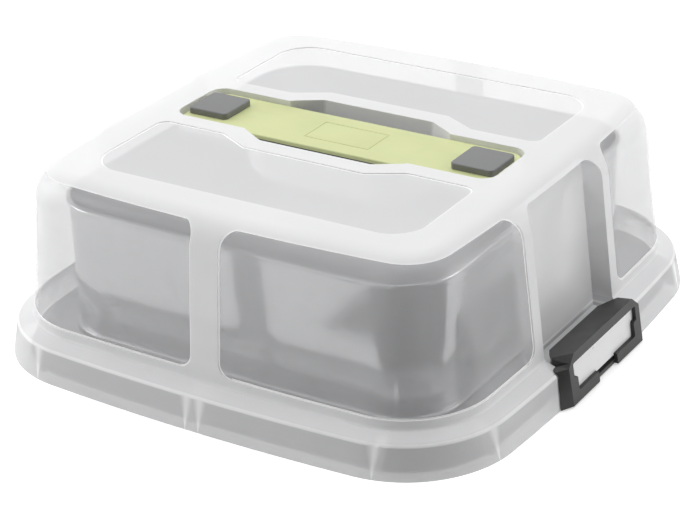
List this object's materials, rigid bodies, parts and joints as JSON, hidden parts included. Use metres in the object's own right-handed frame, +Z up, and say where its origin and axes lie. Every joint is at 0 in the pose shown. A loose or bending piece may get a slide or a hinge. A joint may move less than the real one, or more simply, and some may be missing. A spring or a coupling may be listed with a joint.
{
  "type": "springform pan with cover",
  "caption": "Square springform pan on a serving base, under a translucent carrying cover with a recessed handle and hinged side clips.",
  "frame": {"origin": "centre of the bounding box's bottom, where the base stands", "axes": "+Z up; X along the handle, with a clip on each X side; the pan's latch is on the +Y side and the plain ribbed side faces -Y"},
  "size_m": [0.3252, 0.318, 0.1111],
  "materials": {
    "cover": "frosted translucent, with shallow clear panels",
    "handle_core": "satin dark grey",
    "strap": "smooth pale lime",
    "caps": "satin grey",
    "clips": "satin dark grey",
    "clip_inserts": "smooth white",
    "pins": "plain bright steel",
    "base": "satin grey steel sheet",
    "ring": "bright tinned steel sheet",
    "latch": "bright steel sheet and wire"
  },
  "bodies": {
    "base": {"base_plate": "base"},
    "ring": {"pan_ring": "ring", "seam_tongue": "ring", "latch_bracket": "latch", "bracket_rivets": "pins", "latch_pin": "pins", "catch_plate": "latch", "catch_rivets": "pins"},
    "cover": {"cover_skirt": "cover", "cover_shoulder": "cover", "cover_walls": "cover", "cover_top": "cover", "handle_core": "handle_core", "handle_strap": "strap", "end_cap_left": "caps", "end_cap_right": "caps"},
    "left_clip": {"clip_left": "clips", "clip_insert_left": "clip_inserts", "clip_pin_left": "pins"},
    "right_clip": {"clip_right": "clips", "clip_insert_right": "clip_inserts", "clip_pin_right": "pins"},
    "lever": {"latch_lever": "latch"},
    "bail": {"latch_bail": "latch"}
  },
  "joints": [
    {"name": "ring_lift", "type": "slide", "parent": "base", "child": "ring", "axis": [0, 0, 1], "range_m": [0, 0.1]},
    {"name": "cover_lift", "type": "slide", "parent": "ring", "child": "cover", "axis": [0, 0, 1], "range_m": [0, 0.3]},
    {"name": "left_clip_turn", "type": "hinge", "parent": "cover", "child": "left_clip", "pos_m": [-0.1442, 0, 0.0198], "axis": [0, 1, 0], "range_deg": [0, 75]},
    {"name": "right_clip_turn", "type": "hinge", "parent": "cover", "child": "right_clip", "pos_m": [0.1442, 0, 0.0198], "axis": [0, -1, 0], "range_deg": [0, 75]},
    {"name": "lever_turn", "type": "hinge", "parent": "ring", "child": "lever", "pos_m": [0.015, 0.1273, 0.045], "axis": [0, 0, 1], "range_deg": [0, 90]},
    {"name": "bail_turn", "type": "hinge", "parent": "lever", "child": "bail", "pos_m": [0.024, 0.1247, 0.045], "axis": [0, 0, 1], "range_deg": [-80, 0]}
  ],
  "couplings": [
    {"joint": "lever_turn", "follows": "cover_lift", "rad_per_m": 5.2},
    {"joint": "bail_turn", "follows": "cover_lift", "rad_per_m": -4.394}
  ]
}
